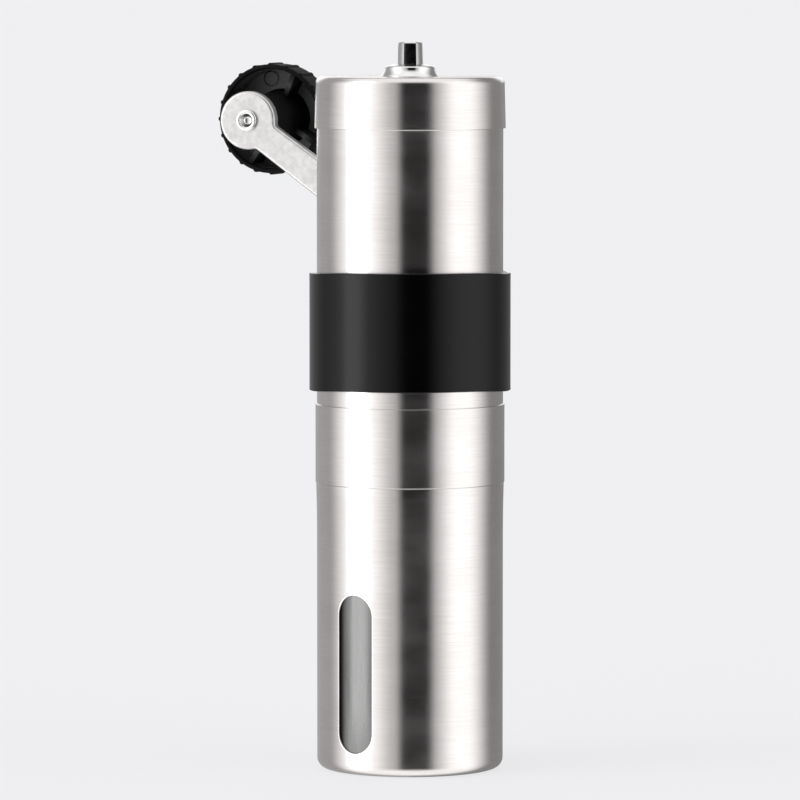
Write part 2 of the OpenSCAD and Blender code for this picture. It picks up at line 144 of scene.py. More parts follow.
def ring(bm, r, z, angles):
    """Vertices round the axis, or one vertex many times over where r is 0."""
    if r < 1e-6:
        return [bm.verts.new((0, 0, z))] * len(angles)
    return [bm.verts.new((r * cos(a), r * sin(a), z)) for a in angles]


def strip(bm, low, high, closed=True):
    """Faces between two rows of vertices of the same length."""
    count = len(low) if closed else len(low) - 1
    for k in range(count):
        n = (k + 1) % len(low)
        loop = list(dict.fromkeys((low[k], low[n], high[n], high[k])))
        if len(loop) > 2:
            bm.faces.new(loop)


def lathe(outline, steps=STEPS, swell=None):
    """Closed outline of (r, z) turned round the axis. swell(angle, r, z) moves a point outwards."""
    bm = bmesh.new()
    angles = [2 * pi * k / steps for k in range(steps)]
    rings = []
    for r, z in outline:
        if swell is None or r < 1e-6:
            rings.append(ring(bm, r, z, angles))
        else:
            rows = [(r + swell(a, r, z), a) for a in angles]
            rings.append([bm.verts.new((q * cos(a), q * sin(a), z)) for q, a in rows])
    for low, high in zip(rings, rings[1:] + rings[:1]):
        strip(bm, low, high)
    return bm


def piece(name, bm, body, slot, replaced=(), place=None, weighted=True):
    """Finishes a mesh in mm, puts it in the scene in metres and rides it on its body."""
    if place is not None:
        bm.transform(place)
    bmesh.ops.remove_doubles(bm, verts=bm.verts, dist=1e-4)
    bmesh.ops.recalc_face_normals(bm, faces=bm.faces)
    bm.transform(Matrix.Scale(MM, 4))
    mesh = bpy.data.meshes.new(name)
    bm.to_mesh(mesh)
    bm.free()
    mesh.materials.append(LOOKS[slot])
    mesh.shade_smooth()
    mesh.set_sharp_from_angle(angle=SHARP)
    made = bpy.data.objects.new(name, mesh)
    bpy.context.scene.collection.objects.link(made)
    if weighted:
        made.modifiers.new("normals", "WEIGHTED_NORMAL").keep_sharp = True
    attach(made, body)
    if replaced:
        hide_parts(*replaced)
    return made


# ---------------------------------------------------------------- material helpers

def new_material(slot, **values):
    """Material named after its slot, with its shader's constant values set on the sockets."""
    material = bpy.data.materials.new(slot)
    material.use_nodes = True
    shader = material.node_tree.nodes["Principled BSDF"]
    for socket, value in values.items():
        shader.inputs[socket.replace("_", " ")].default_value = value
    return material, material.node_tree, shader


def add(tree, kind, inputs=None, **settings):
    """Node of a kind, with its settings and with its inputs set to values or linked to sockets."""
    node = tree.nodes.new(kind)
    for key, value in settings.items():
        setattr(node, key, value)
    for key, value in (inputs or {}).items():
        if isinstance(value, bpy.types.NodeSocket):
            tree.links.new(value, node.inputs[key])
        else:
            node.inputs[key].default_value = value
    return node


def maths(tree, operation, a, b=0.0):
    return add(tree, "ShaderNodeMath", {0: a, 1: b}, operation=operation).outputs[0]


def scaled(tree, vector, size):
    """Coordinates that give a pattern the given feature size in mm, along each axis."""
    scale = [1 / (s * MM) for s in size]
    return add(tree, "ShaderNodeMapping", {"Vector": vector, "Scale": scale}).outputs[0]


def noise(tree, vector, detail=3.0, rough=0.5):
    inputs = {"Vector": vector, "Scale": 1.0, "Detail": detail, "Roughness": rough}
    return add(tree, "ShaderNodeTexNoise", inputs).outputs[0]


def spread(tree, value, low, high, to_low, to_high):
    inputs = {0: value, 1: low, 2: high, 3: to_low, 4: to_high}
    return add(tree, "ShaderNodeMapRange", inputs, interpolation_type="SMOOTHSTEP").outputs[0]


def blend(tree, factor, a, b):
    """Colour between a and b, each a socket or three numbers."""
    node = add(tree, "ShaderNodeMix", {0: factor}, data_type="RGBA")
    for index, colour in ((6, a), (7, b)):
        if isinstance(colour, bpy.types.NodeSocket):
            tree.links.new(colour, node.inputs[index])
        else:
            node.inputs[index].default_value = (*colour, 1)
    return node.outputs[2]


def bump(tree, shader, height, depth, strength=1.0):
    """Surface relief: depth is in mm."""
    inputs = {"Height": height, "Distance": depth * MM, "Strength": strength}
    node = add(tree, "ShaderNodeBump", inputs)
    tree.links.new(node.outputs[0], shader.inputs["Normal"])


def edge_wear(tree):
    """1 on outward edges and 0 elsewhere."""
    geometry = add(tree, "ShaderNodeNewGeometry")
    return spread(tree, geometry.outputs["Pointiness"], 0.52, 0.60, 0, 1)


def rim_wear(tree, width):
    """Wear found by looking round within a width in mm, for flat plates with few vertices."""
    eased = add(tree, "ShaderNodeBevel", {"Radius": width * MM}, samples=4)
    geometry = add(tree, "ShaderNodeNewGeometry")
    facing = add(tree, "ShaderNodeVectorMath", {0: eased.outputs[0], 1: geometry.outputs["Normal"]},
                 operation="DOT_PRODUCT")
    return spread(tree, facing.outputs["Value"], 0.9, 0.995, 1, 0)


def place_of(tree):
    return add(tree, "ShaderNodeTexCoord").outputs["Object"]


def turned_lines(tree, length, height):
    """Coordinates of lines that run round the axis, on walls and on end faces alike."""
    position = place_of(tree)
    split = add(tree, "ShaderNodeSeparateXYZ", {0: position})
    flat = add(tree, "ShaderNodeCombineXYZ", {0: split.outputs[0], 1: split.outputs[1]})
    from_axis = add(tree, "ShaderNodeVectorMath", {0: flat.outputs[0]}, operation="LENGTH")
    step = maths(tree, "SUBTRACT", split.outputs[2], from_axis.outputs["Value"])
    joined = add(tree, "ShaderNodeCombineXYZ", {0: split.outputs[0], 1: split.outputs[1], 2: step})
    return scaled(tree, joined.outputs[0], (length, length, height))


# ---------------------------------------------------------------- materials

# Painted sheen: the lighter colour of the knob's polished inside, standing in for the light it reflects
PAINTED_SHEEN_TONE = (0.16, 0.16, 0.163)
# Colour of the painted shade along the window pane's left edge
PAINTED_SHADE_TONE = (0.014, 0.014, 0.014)
PAINTED_SHADE_TURN = -48.2           # degrees from the front at which the painted shade along the pane's left edge ends


def brushed_steel():
    """Stainless steel, brushed round the axis, with hairlines and faint handling clouds."""
    material, tree, shader = new_material("brushed_body", Metallic=1.0, Anisotropic=0.8,
                                          Anisotropic_Rotation=0.25)
    long_hair = noise(tree, turned_lines(tree, 22, 0.28), detail=4, rough=0.7)
    short_hair = noise(tree, turned_lines(tree, 9, 0.37), detail=4, rough=0.7)
    hair = maths(tree, "MULTIPLY", maths(tree, "ADD", long_hair, short_hair), 0.5)
    cloud = noise(tree, scaled(tree, place_of(tree), (14, 14, 9)), detail=4)
    tone = blend(tree, spread(tree, cloud, 0.3, 0.7, 0, 1), (0.745, 0.712, 0.700), (0.785, 0.755, 0.745))
    lines = blend(tree, spread(tree, hair, 0.35, 0.7, 0, 0.4), tone, (0.63, 0.60, 0.59))
    worn = blend(tree, edge_wear(tree), lines, (0.87, 0.86, 0.85))
    tree.links.new(worn, shader.inputs["Base Color"])
    grain = spread(tree, hair, 0.2, 0.8, 0.175, 0.25)
    haze = spread(tree, cloud, 0.25, 0.75, -0.02, 0.03)
    tree.links.new(maths(tree, "ADD", grain, haze), shader.inputs["Roughness"])
    bump(tree, shader, hair, 0.004, 0.4)
    tangent = add(tree, "ShaderNodeTangent", direction_type="RADIAL", axis="Z")
    tree.links.new(tangent.outputs[0], shader.inputs["Tangent"])
    return material


def plain_metal(slot, dark, light, rough_low, rough_high, size, depth):
    """Metal with mottled tone and roughness, bright worn edges and a fine relief."""
    material, tree, shader = new_material(slot, Metallic=1.0)
    coarse = noise(tree, scaled(tree, place_of(tree), (size, size, size)), detail=5, rough=0.6)
    fine = noise(tree, scaled(tree, place_of(tree), (size / 6,) * 3), detail=3)
    tone = blend(tree, spread(tree, coarse, 0.3, 0.7, 0, 1), dark, light)
    brighter = tuple(min(1.0, c * 1.12) for c in light)
    tree.links.new(blend(tree, rim_wear(tree, 0.3), tone, brighter), shader.inputs["Base Color"])
    tree.links.new(spread(tree, fine, 0.25, 0.75, rough_low, rough_high), shader.inputs["Roughness"])
    bump(tree, shader, fine, depth)
    return material


def plain_plastic(slot, dark, light, rough_low, rough_high, size, depth, specular):
    """Moulded plastic or rubber: a fine tooled grain, a faint flow tone and rubbed edges."""
    material, tree, shader = new_material(slot, Specular_IOR_Level=specular)
    flow = noise(tree, scaled(tree, place_of(tree), (7, 7, 5)), detail=3)
    grain = noise(tree, scaled(tree, place_of(tree), (size,) * 3), detail=4, rough=0.6)
    tone = blend(tree, spread(tree, flow, 0.3, 0.7, 0, 1), dark, light)
    rubbed = tuple(min(1.0, c * 1.5 + 0.002) for c in light)
    rough = spread(tree, grain, 0.25, 0.75, rough_low, rough_high)
    wear = edge_wear(tree)
    if slot == "knob_plastic":
        # The marked faces came off a polished part of the mould and are smoother; their lighter colour is a
        # painted sheen, standing in for the light the knob's inside reflects
        polish_and_sheen = add(tree, "ShaderNodeAttribute", attribute_name="polish_and_sheen").outputs["Fac"]
        tone = blend(tree, polish_and_sheen, tone, PAINTED_SHEEN_TONE)
        smooth = maths(tree, "SUBTRACT", 1.0, maths(tree, "MULTIPLY", polish_and_sheen, 0.4))
        rough = maths(tree, "MULTIPLY", rough, smooth)
        wear = maths(tree, "MULTIPLY", wear, maths(tree, "SUBTRACT", 1.0, polish_and_sheen))
    tree.links.new(blend(tree, wear, tone, rubbed), shader.inputs["Base Color"])
    tree.links.new(rough, shader.inputs["Roughness"])
    bump(tree, shader, grain, depth)
    return material


def clear_plastic():
    """Window plastic, hazed by coffee oil, with fine upright scratches and painted shade along its left
    edge.
    """
    material, tree, shader = new_material("clear_plastic", IOR=1.68)
    dust = noise(tree, scaled(tree, place_of(tree), (1.6, 1.6, 12)), detail=6, rough=0.6)
    scratch = noise(tree, scaled(tree, place_of(tree), (0.25, 0.25, 8)), detail=4)
    tone = blend(tree, spread(tree, dust, 0.35, 0.7, 0, 1), (0.125, 0.121, 0.118), (0.085, 0.082, 0.080))
    split = add(tree, "ShaderNodeSeparateXYZ", {0: place_of(tree)})
    forward = maths(tree, "MULTIPLY", split.outputs[1], -1.0)
    turn = maths(tree, "MULTIPLY", maths(tree, "ARCTAN2", split.outputs[0], forward), degrees(1))
    # Painted shade: a dark strip along the pane's left edge stands in for the shadow of the slot's jamb,
    # and lowers colour, reflection and transmission there
    painted_shade = spread(tree, turn, PAINTED_SHADE_TURN - 1.0, PAINTED_SHADE_TURN + 6.5, 1, 0)
    tree.links.new(blend(tree, painted_shade, tone, PAINTED_SHADE_TONE), shader.inputs["Base Color"])
    unshaded_part = maths(tree, "SUBTRACT", 1.0, painted_shade)
    tree.links.new(unshaded_part, shader.inputs["Specular IOR Level"])
    tree.links.new(maths(tree, "MULTIPLY", unshaded_part, 0.25), shader.inputs["Transmission Weight"])
    smear = maths(tree, "ADD", split.outputs[2], maths(tree, "MULTIPLY", dust, 0.005))
    oily = spread(tree, smear, 0.008, 0.026, 0.30, 0.0)
    wiped = spread(tree, scratch, 0.3, 0.7, 0.05, 0.10)
    tree.links.new(maths(tree, "ADD", wiped, oily), shader.inputs["Roughness"])
    bump(tree, shader, scratch, 0.003)
    return material


# Dark and light tone, low and high roughness, size of the mottling and depth of the relief in mm
METALS = {
    "polished_steel": ((0.74, 0.73, 0.72), (0.80, 0.795, 0.79), 0.10, 0.17, 2.5, 0.001),
    "crank_steel": ((0.56, 0.55, 0.545), (0.68, 0.67, 0.665), 0.34, 0.46, 1.6, 0.006),
    "rivet_steel": ((0.80, 0.795, 0.79), (0.88, 0.875, 0.87), 0.16, 0.25, 1.2, 0.002),
    "washer_steel": ((0.55, 0.545, 0.54), (0.64, 0.635, 0.63), 0.22, 0.34, 1.5, 0.002),
    "nut_brass": ((0.62, 0.43, 0.16), (0.72, 0.53, 0.23), 0.24, 0.36, 1.5, 0.002),
}
# The same, with the size of the grain, and the specular level at the end
PLASTICS = {
    "grip_rubber": ((0.0004, 0.0004, 0.0005), (0.0009, 0.0008, 0.0009), 0.20, 0.27, 0.22, 0.002, 0.24),
    "knob_plastic": ((0.0022, 0.0022, 0.0024), (0.0040, 0.0040, 0.0043), 0.52, 0.62, 0.18, 0.004, 0.10),
    "black_plastic": ((0.0060, 0.0060, 0.0065), (0.0100, 0.0100, 0.0105), 0.40, 0.50, 0.20, 0.005, 0.4),
    "white_plastic": ((0.72, 0.70, 0.64), (0.78, 0.77, 0.72), 0.32, 0.42, 0.25, 0.003, 0.5),
    "burr_ceramic": ((0.74, 0.71, 0.63), (0.82, 0.80, 0.74), 0.22, 0.38, 0.35, 0.008, 0.5),
}
LOOKS = {"brushed_body": brushed_steel(), "clear_plastic": clear_plastic()}
LOOKS.update((slot, plain_metal(slot, *values)) for slot, values in METALS.items())
LOOKS.update((slot, plain_plastic(slot, *values)) for slot, values in PLASTICS.items())


# ---------------------------------------------------------------- grounds chamber

CHAMBER_WALL = 0.7
MOUTH_FLARE = 0.22
FOOT_FILLET = 2.8
LIP = 0.16                  # rounding of thin sheet edges
PATCH_HALF = 12.0           # half width of the patch round the slot
PATCH_COLUMNS = 24
REST_COLUMNS = 150
PATCH_ROWS = 32
PANEL_R = 17.5              # radius of the base's pressed-in panel
PANEL_UP = 0.4
FLARE_HEIGHT = 16.0
JAMB_OUT, JAMB_IN = 0.32, 0.1   # roundings of the slot's edges


def slot_columns(r):
    """Angles round the wall from the slot's middle, fine across the slot's patch."""
    patch = [asin((2 * i / PATCH_COLUMNS - 1) * PATCH_HALF / r) for i in range(PATCH_COLUMNS)]
    edge = asin(PATCH_HALF / r)
    rest = [edge + (2 * pi - 2 * edge) * i / REST_COLUMNS for i in range(REST_COLUMNS)]
    return patch + rest


def on_wall(r, x, z):
    """Point of a wall of radius r, at sideways distance x from the slot's middle."""
    angle = asin(x / r) - SLOT_TURN - pi / 2
    return (r * cos(angle), r * sin(angle), z)


def slot_edge(x, z, offset):
    """Point of the slot's outline nearest to (x, z), moved outwards by offset."""
    centre = Vector((0, min(max(z, SLOT_LOW + SLOT_HALF), SLOT_HIGH - SLOT_HALF)))
    return centre + (Vector((x, z)) - centre).normalized() * (SLOT_HALF + offset)


def slotted_wall(bm, r, rows, first, last, offset):
    """Turned skin through rows of (r, z), pierced between two rows; returns rings and slot edge."""
    angles = [a - SLOT_TURN - pi / 2 for a in slot_columns(r)]
    rings = [ring(bm, row_r, row_z, angles) for row_r, row_z in rows]
    for i, (low, high) in enumerate(zip(rings, rings[1:])):
        if first <= i < last:
            strip(bm, low[PATCH_COLUMNS:] + low[:1], high[PATCH_COLUMNS:] + high[:1], closed=False)
        else:
            strip(bm, low, high)
    side = range(PATCH_COLUMNS + 1)
    x_of = [(2 * i / PATCH_COLUMNS - 1) * PATCH_HALF for i in side]
    frame_loop = [(rings[first][i], x_of[i], rows[first][1]) for i in side]
    frame_loop += [(rings[j][PATCH_COLUMNS], PATCH_HALF, rows[j][1]) for j in range(first + 1, last)]
    frame_loop += [(rings[last][i], x_of[i], rows[last][1]) for i in reversed(side)]
    frame_loop += [(rings[j][0], -PATCH_HALF, rows[j][1]) for j in range(last - 1, first, -1)]
    outer = [v for v, _, _ in frame_loop]
    for share in (0.6, 0.32, 0.14, 0.0):
        inner = []
        for _, x, z in frame_loop:
            near = slot_edge(x, z, offset)
            point = near.lerp(Vector((x, z)), share)
            inner.append(bm.verts.new(on_wall(r, point.x, point.y)))
        strip(bm, outer, inner)
        outer = inner
    return rings, outer, [(x, z) for _, x, z in frame_loop]


def build_chamber():
    """Deep-drawn steel cup with a rounded foot and the window slot."""
    height = top("chamber")
    r_out = radius("chamber") - MOUTH_FLARE
    r_in = r_out - CHAMBER_WALL
    flare_start = height - FLARE_HEIGHT
    patch_low, patch_high = FOOT_FILLET + 0.6, SLOT_HIGH + 3
    patch = [patch_low + (patch_high - patch_low) * i / PATCH_ROWS for i in range(PATCH_ROWS + 1)]
    flare = [(MOUTH_FLARE * (i / 6) ** 2, flare_start + (height - LIP - flare_start) * i / 6)
             for i in range(7)]

    def skin(r, floor, fillet):
        """Rows of one skin from the middle of the base to the mouth, and where its patch starts."""
        foot = rounded([(0, PANEL_UP + floor, 0), (PANEL_R, PANEL_UP + floor, 0.5),
                        (PANEL_R + 1.2, floor, 0.5), (r, floor, fillet), (r, patch_low, 0)], 8)[:-1]
        return foot + [(r, z) for z in patch] + [(r + f, z) for f, z in flare], len(foot)

    bm = bmesh.new()
    rows, first = skin(r_out, 0, FOOT_FILLET)
    outer_rings, outer_edge, loop = slotted_wall(bm, r_out, rows, first, first + PATCH_ROWS, JAMB_OUT)
    rows, first = skin(r_in, CHAMBER_WALL, FOOT_FILLET - CHAMBER_WALL)
    inner_rings, inner_edge, _ = slotted_wall(bm, r_in, rows, first, first + PATCH_ROWS, JAMB_IN)

    def jamb(offset, r):
        points = [slot_edge(x, z, offset) for x, z in loop]
        return [bm.verts.new(on_wall(r, p.x, p.y)) for p in points]

    quarter = [radians(90) * k / 4 for k in range(1, 5)]
    rows = [jamb(JAMB_OUT * (1 - sin(a)), r_out - JAMB_OUT * (1 - cos(a))) for a in quarter]
    rows += [jamb(JAMB_IN * (1 - sin(a)), r_in + JAMB_IN * (1 - cos(a))) for a in reversed(quarter)]
    for low, high in zip([outer_edge] + rows, rows + [inner_edge]):
        strip(bm, low, high)

    mouth = r_out + MOUTH_FLARE
    angles = [a - SLOT_TURN - pi / 2 for a in slot_columns(r_out)]
    lip_points = rounded([(mouth, height - 2 * LIP, 0), (mouth, height, LIP),
                          (mouth - CHAMBER_WALL, height, LIP), (mouth - CHAMBER_WALL, height - 2 * LIP, 0)])
    lip = [ring(bm, r, z, angles) for r, z in lip_points[2:-2]]
    for low, high in zip([outer_rings[-1]] + lip, lip + [inner_rings[-1]]):
        strip(bm, low, high)

    made = piece("chamber_shell", bm, "chamber", "brushed_body", ["chamber"], weighted=False)
    # The walls' normals point straight outwards, so that the slot's patch doesn't show in reflections
    normals = []
    for v in made.data.vertices:
        outward = Vector((v.co.x, v.co.y, 0))
        straight = FOOT_FILLET * MM - 1e-6 <= v.co.z <= flare_start * MM + 1e-6
        if straight and abs(outward.length - r_out * MM) < 1e-7:
            normals.append(outward.normalized())
        elif straight and abs(outward.length - r_in * MM) < 1e-7:
            normals.append(-outward.normalized())
        else:
            normals.append(Vector((0, 0, 0)))
    made.data.normals_split_custom_set_from_vertices(normals)
    return made


build_chamber()


# ---------------------------------------------------------------- head: tube, mill ring, grip band

TUBE_WALL = 0.6
RING_LIP = 0.9
RING_HEM = 0.18             # rounding of the mill ring's edges
RING_SLOPE = 0.35           # how far its top falls towards the tube


def build_tube():
    """Hopper tube with eased edges."""
    low, high = bottom("hopper_tube"), top("hopper_tube")
    r = radius("hopper_tube")
    outline = rounded([(r - TUBE_WALL, low, 0), (r, low, 0.2), (r, high, 0.15),
                       (r - TUBE_WALL, high, 0.15)])
    return piece("hopper_tube_shell", lathe(outline), "head", "brushed_body", ["hopper_tube"])


def build_mill_ring():
    """Steel ring pressed over the tube's foot; its lip closes the seam above the chamber."""
    low, high = bottom("mill_ring"), top("mill_ring")
    r = radius("mill_ring")
    r_tube = radius("hopper_tube") + 0.03
    r_in = radius("hopper_tube") - TUBE_WALL
    outline = rounded([(r_in, low, 0.1), (r, low, RING_HEM), (r, high, RING_HEM),
                       (r_tube, high - RING_SLOPE, 0.1), (r_tube, low + RING_LIP, 0),
                       (r_in, low + RING_LIP, 0.1)])
    return piece("mill_ring_shell", lathe(outline), "head", "brushed_body", ["mill_ring"])


BAND_WALL = 1.98
BAND_FLICK = 0.06           # how far the sleeve's edges turn outwards
BAND_LIFT = 0.85            # how far the stretched sleeve rides up at the front
BAND_DIP = 0.6              # how far its top edge dips behind
BAND_COLUMNS = 360
BAND_ROWS = 14
BAND_SOFT = 7               # columns to each side that smooth the sleeve's outline
COVER = 0.55                # air between the sleeve and what it hides
PLATE_SIDES = (8.5, -23.2)  # the plate's reach to each side of the hub's middle, under the sleeve
SOCKET_SIDE = 6.6


def build_grip_band():
    """Rubber sleeve, stretched in a smooth bulge over the stowed crank's hub."""
    low, high = bottom("grip_band"), top("grip_band")
    r = radius("hopper_tube") + 0.05
    back = Vector((axis_out.x, axis_out.y))
    side = Vector((axis_out.y, -axis_out.x))
    hub_back = Vector((hub.x, hub.y)).dot(back)
    hub_side = Vector((hub.x, hub.y)).dot(side)
    over_plate = hub_back + PLATE / 2 + COVER
    over_socket = hub_back + SOCKET_OUT + COVER
    shape = [Vector((hub_side + PLATE_SIDES[0], over_plate)), Vector((hub_side + SOCKET_SIDE, over_socket)),
             Vector((hub_side - SOCKET_SIDE, over_socket)), Vector((hub_side + PLATE_SIDES[1], over_plate))]

    def taut(direction):
        """Distance from the axis to the sleeve pulled tight over tube and hub, in one direction."""
        far = r
        for a, b in zip(shape, shape[1:]):
            normal = Vector(((b - a).y, -(b - a).x)).normalized()
            if normal.dot(a) < 0:
                normal = -normal
            facing = normal.dot(direction)
            if facing <= 0.05:
                continue
            hit = direction * (normal.dot(a) / facing)
            share = (hit - a).dot(b - a) / (b - a).length_squared
            if 0 <= share <= 1:
                far = max(far, hit.length)
        for corner, turn in ((shape[0], -1), (shape[-1], 1)):
            lean = asin(r / corner.length)
            reach_out = corner.normalized()
            spread_angle = direction.angle(reach_out)
            beyond = direction.cross(reach_out) * turn
            if beyond < 0 and spread_angle < pi / 2 - lean:
                far = max(far, r / cos(pi / 2 - lean - spread_angle))
        return far

    tight = []
    for k in range(BAND_COLUMNS):
        a = 2 * pi * k / BAND_COLUMNS
        world = Vector((cos(a), sin(a)))
        tight.append(taut(Vector((world.dot(side), world.dot(back)))))

    def eased(k):
        """The tight sleeve's distance at a column, averaged with its neighbours."""
        near = [tight[(k + d) % BAND_COLUMNS] for d in range(-BAND_SOFT, BAND_SOFT + 1)]
        return sum(near) / len(near)

    distances = [eased(k) for k in range(BAND_COLUMNS)]
    hub_foot = hub.z - 9.5

    def bulge(z):
        """How far the sleeve is pulled out at a height: fully at the hub, less at its lower edge."""
        return 1 - 0.55 * ease(max(0.0, (hub_foot - z) / (hub_foot - low)))

    def swell(angle, _, z):
        k = int(round(angle / (2 * pi) * BAND_COLUMNS)) % BAND_COLUMNS
        from_edge = min(z - low, high - z)
        flick = BAND_FLICK * max(0.0, 1 - from_edge / 1.6) ** 2
        return (distances[k] - r) * bulge(z) + flick

    margin = 0.9
    walls = [low + margin + (high - low - 2 * margin) * i / BAND_ROWS for i in range(BAND_ROWS + 1)]
    r_out = r + BAND_WALL
    lower = rounded([(r, low + 0.8, 0), (r, low, 0.2), (r_out, low, 0.22), (r_out, low + 0.8, 0)])
    upper = rounded([(r_out, high - 0.8, 0), (r_out, high, 0.22), (r, high, 0.2), (r, high - 0.8, 0)])
    outline = lower + [(r_out, z) for z in walls] + upper + [(r, z) for z in reversed(walls)]
    bm = lathe(outline, BAND_COLUMNS, swell=swell)
    for v in bm.verts:
        forward = -v.co.y / hypot(v.co.x, v.co.y)
        upper_part = clamp((v.co.z - low) / (high - low) * 2 - 1)
        v.co.z += BAND_LIFT * ease(clamp((forward - 0.2) / 0.7))
        v.co.z -= BAND_DIP * ease(clamp((0.15 - forward) / 0.45)) * upper_part
    return piece("grip_sleeve", bm, "head", "grip_rubber", ["grip_band"])


build_tube()
build_mill_ring()
build_grip_band()


# ---------------------------------------------------------------- lid, collar and shaft

LID_FILLET = 2.0
LID_INNER_FILLET = 1.4
LID_PLATE = 0.7
LID_TAPER = 0.35
LID_HOLE = 6.65


def build_lid():
    """Drawn cap with a small rounded shoulder."""
    low, high = bottom("lid"), top("lid")
    r = radius("lid")
    r_in = radius("hopper_tube") + 0.08
    outline = rounded([(r_in, low, 0.1), (r, low, 0.22), (r - LID_TAPER, high, LID_FILLET),
                       (LID_HOLE, high, 0.15), (LID_HOLE, high - LID_PLATE, 0),
                       (r_in, high - LID_PLATE, LID_INNER_FILLET)], 9)
    return piece("lid_cap", lathe(outline), "lid", "brushed_body", ["lid"])


def build_collar():
    """Polished collar: a thin flange, a hollow flare in one curve and a low domed top."""
    seat = top("lid")
    low, high = bottom("lid_collar"), top("lid_collar")
    r = radius("lid_collar")
    plug, neck, bore, pocket = 6.6, 6.8, 4.15, 5.45
    flare_top, pocket_top, crown = seat + 2.1, seat + 2.3, 0.65
    flange_low, flange_high = seat + 0.02, seat + 0.14
    outline = [(plug, low), (plug, flange_low)]
    outline += rounded([(plug, flange_low, 0), (r, flange_low, 0.04), (r - 0.06, flange_high, 0.04),
                        (r - 0.3, seat + 0.3, 0)])[1:-1]
    foot = Vector((r - 0.06, flange_high))
    pull = Vector((neck + 0.4, seat + 0.95))
    tip = Vector((neck, flare_top))
    for k in range(1, 9):
        t = k / 9
        outline.append(tuple(foot * (1 - t) ** 2 + pull * 2 * t * (1 - t) + tip * t * t))
    outline += rounded([(neck, flare_top, 0), (neck, high - crown, 0.55), (bore, high, 0.15),
                        (bore, pocket_top, 0)], 6)[1:]
    outline += [(pocket, pocket_top), (pocket, low)]
    return piece("shaft_collar", lathe(outline, 144), "lid", "polished_steel", ["lid_collar"])


HEX_FOOT, HEX_TIP = 3.72, 3.48
HEX_CROWN = radians(13)         # how far the worn faces curve away from flat, at their ends
HEX_FRONT_CROWN = radians(5)    # the same, on the faces to the front and back
HEX_FACE = 0.93                 # share of a face's width that is left between its worn corners
HEX_CORNER = 0.958              # share of the full radius that is left at a corner
JOURNAL_UP, JOURNAL_DOWN = 2.5, 7.0     # the journal's ends, above and below the lid's top


def hexagon(bm, circum, z):
    """Ring of a hexagon with slightly crowned faces and small corners, flat to the front."""
    verts = []
    half = circum / 2 * HEX_FACE
    apothem = circum * cos(radians(30))
    for i in range(6):
        facing = radians(60 * i + 30)
        out = Vector((cos(facing), sin(facing), 0))
        aside = Vector((-out.y, out.x, 0))
        crown = HEX_FRONT_CROWN if abs(out.y) > 0.9 else HEX_CROWN
        for k in range(-4, 5):
            t = k / 4
            point = out * (apothem - half * tan(crown / 2) * t * t) + aside * half * t
            verts.append(bm.verts.new((point.x, point.y, z)))
        corner = radians(60 * i + 60)
        r = circum * HEX_CORNER
        verts.append(bm.verts.new((r * cos(corner), r * sin(corner), z)))
    return verts


def build_shaft():
    """Drive shaft: ringed foot, round rod, journal and the worn hexagonal end."""
    high = top("drive_shaft")
    lid_top = top("lid")
    foot = lid_top + JOURNAL_UP
    bm = bmesh.new()
    rings = []
    for share in (0.0, 0.03, 0.3, 0.6, 0.85):
        rings.append(hexagon(bm, HEX_FOOT + (HEX_TIP - HEX_FOOT) * share, foot + (high - foot) * share))
    crown = 0.5
    for k in range(6):
        angle = radians(90) * k / 5
        rings.append(hexagon(bm, HEX_TIP - crown * (1 - cos(angle)), high - crown * (1 - sin(angle))))
    for low, upper in zip(rings, rings[1:]):
        strip(bm, low, upper)
    bm.faces.new(rings[-1])
    bm.faces.new(rings[0])
    piece("drive_end", bm, "shaft", "polished_steel")

    low = bottom("drive_shaft")
    rod, thread, root, journal = 3.0, 2.5, 2.18, 3.77
    thread_top = low + 12
    outline = [(0, low), (1.9, low), (2.2, low + 0.4)]
    for i in range(11):
        z = low + 0.8 + i
        outline += [(root, z), (thread, z + 0.35), (thread, z + 0.5), (root, z + 0.85)]
    outline += rounded([(root, thread_top, 0), (rod, thread_top, 0.3), (rod, lid_top - JOURNAL_DOWN, 0),
                        (journal, lid_top - JOURNAL_DOWN, 0.3), (journal, foot, 0.1), (0, foot, 0)])
    return piece("shaft_rod", lathe(outline, 72), "shaft", "polished_steel", ["drive_shaft"])


build_lid()
build_collar()
build_shaft()


# ---------------------------------------------------------------- crank

HUB_DISC, KNOB_DISC = 8.0, 8.2
ARM_SHIFT = -0.8
ARM_HUB, ARM_KNOB = 10.0, 8.5
BEND_START, BEND_END = 33.0, 57.0
SOCKET_R = 6.2
SOCKET_HEX = 3.9            # radius over the corners of the socket's hexagon
PIN_R = 2.7
STEM_TOP = 41.7             # top of the knob's stem, along its axis


def disc_end(x, r, low, high, neck, turn):
    """One round end of the arm with its necks, from its low side to its high side when turn is 1."""
    def tangent(y, side):
        centre = Vector((-sqrt((r + neck) ** 2 - (abs(y) + neck) ** 2), side * (abs(y) + neck)))
        return centre, centre.normalized() * r

    def heading(vector):
        return atan2(vector.y, vector.x)

    (low_centre, low_touch), (high_centre, high_touch) = tangent(low, -1), tangent(high, 1)
    points = arc(low_centre, neck, radians(90), heading(low_touch - low_centre), 6)
    points += arc(Vector((0, 0)), r, heading(low_touch), heading(high_touch), 56)[1:-1]
    points += arc(high_centre, neck, heading(high_touch - high_centre), radians(-90), 6)
    return [Vector((x + turn * p.x, p.y * turn)) for p in points]


def inset(outline, distance):
    """Closed outline moved inwards by a distance, point by point."""
    moved = []
    for i, point in enumerate(outline):
        ahead = (outline[(i + 1) % len(outline)] - point).normalized()
        back = (point - outline[i - 1]).normalized()
        direction = (ahead + back).normalized()
        moved.append(point + Vector((-direction.y, direction.x)) * distance)
    return moved


def bend(x, y, height):
    """Point of the bent plate: x runs along it, height is measured across its thickness."""
    share = clamp((x - BEND_START) / (BEND_END - BEND_START))
    lift = rise * ease(share)
    slope = rise * 6 * share * (1 - share) / (BEND_END - BEND_START)
    tilt = atan2(slope, 1)
    return (x - height * sin(tilt), y, lift + height * cos(tilt))


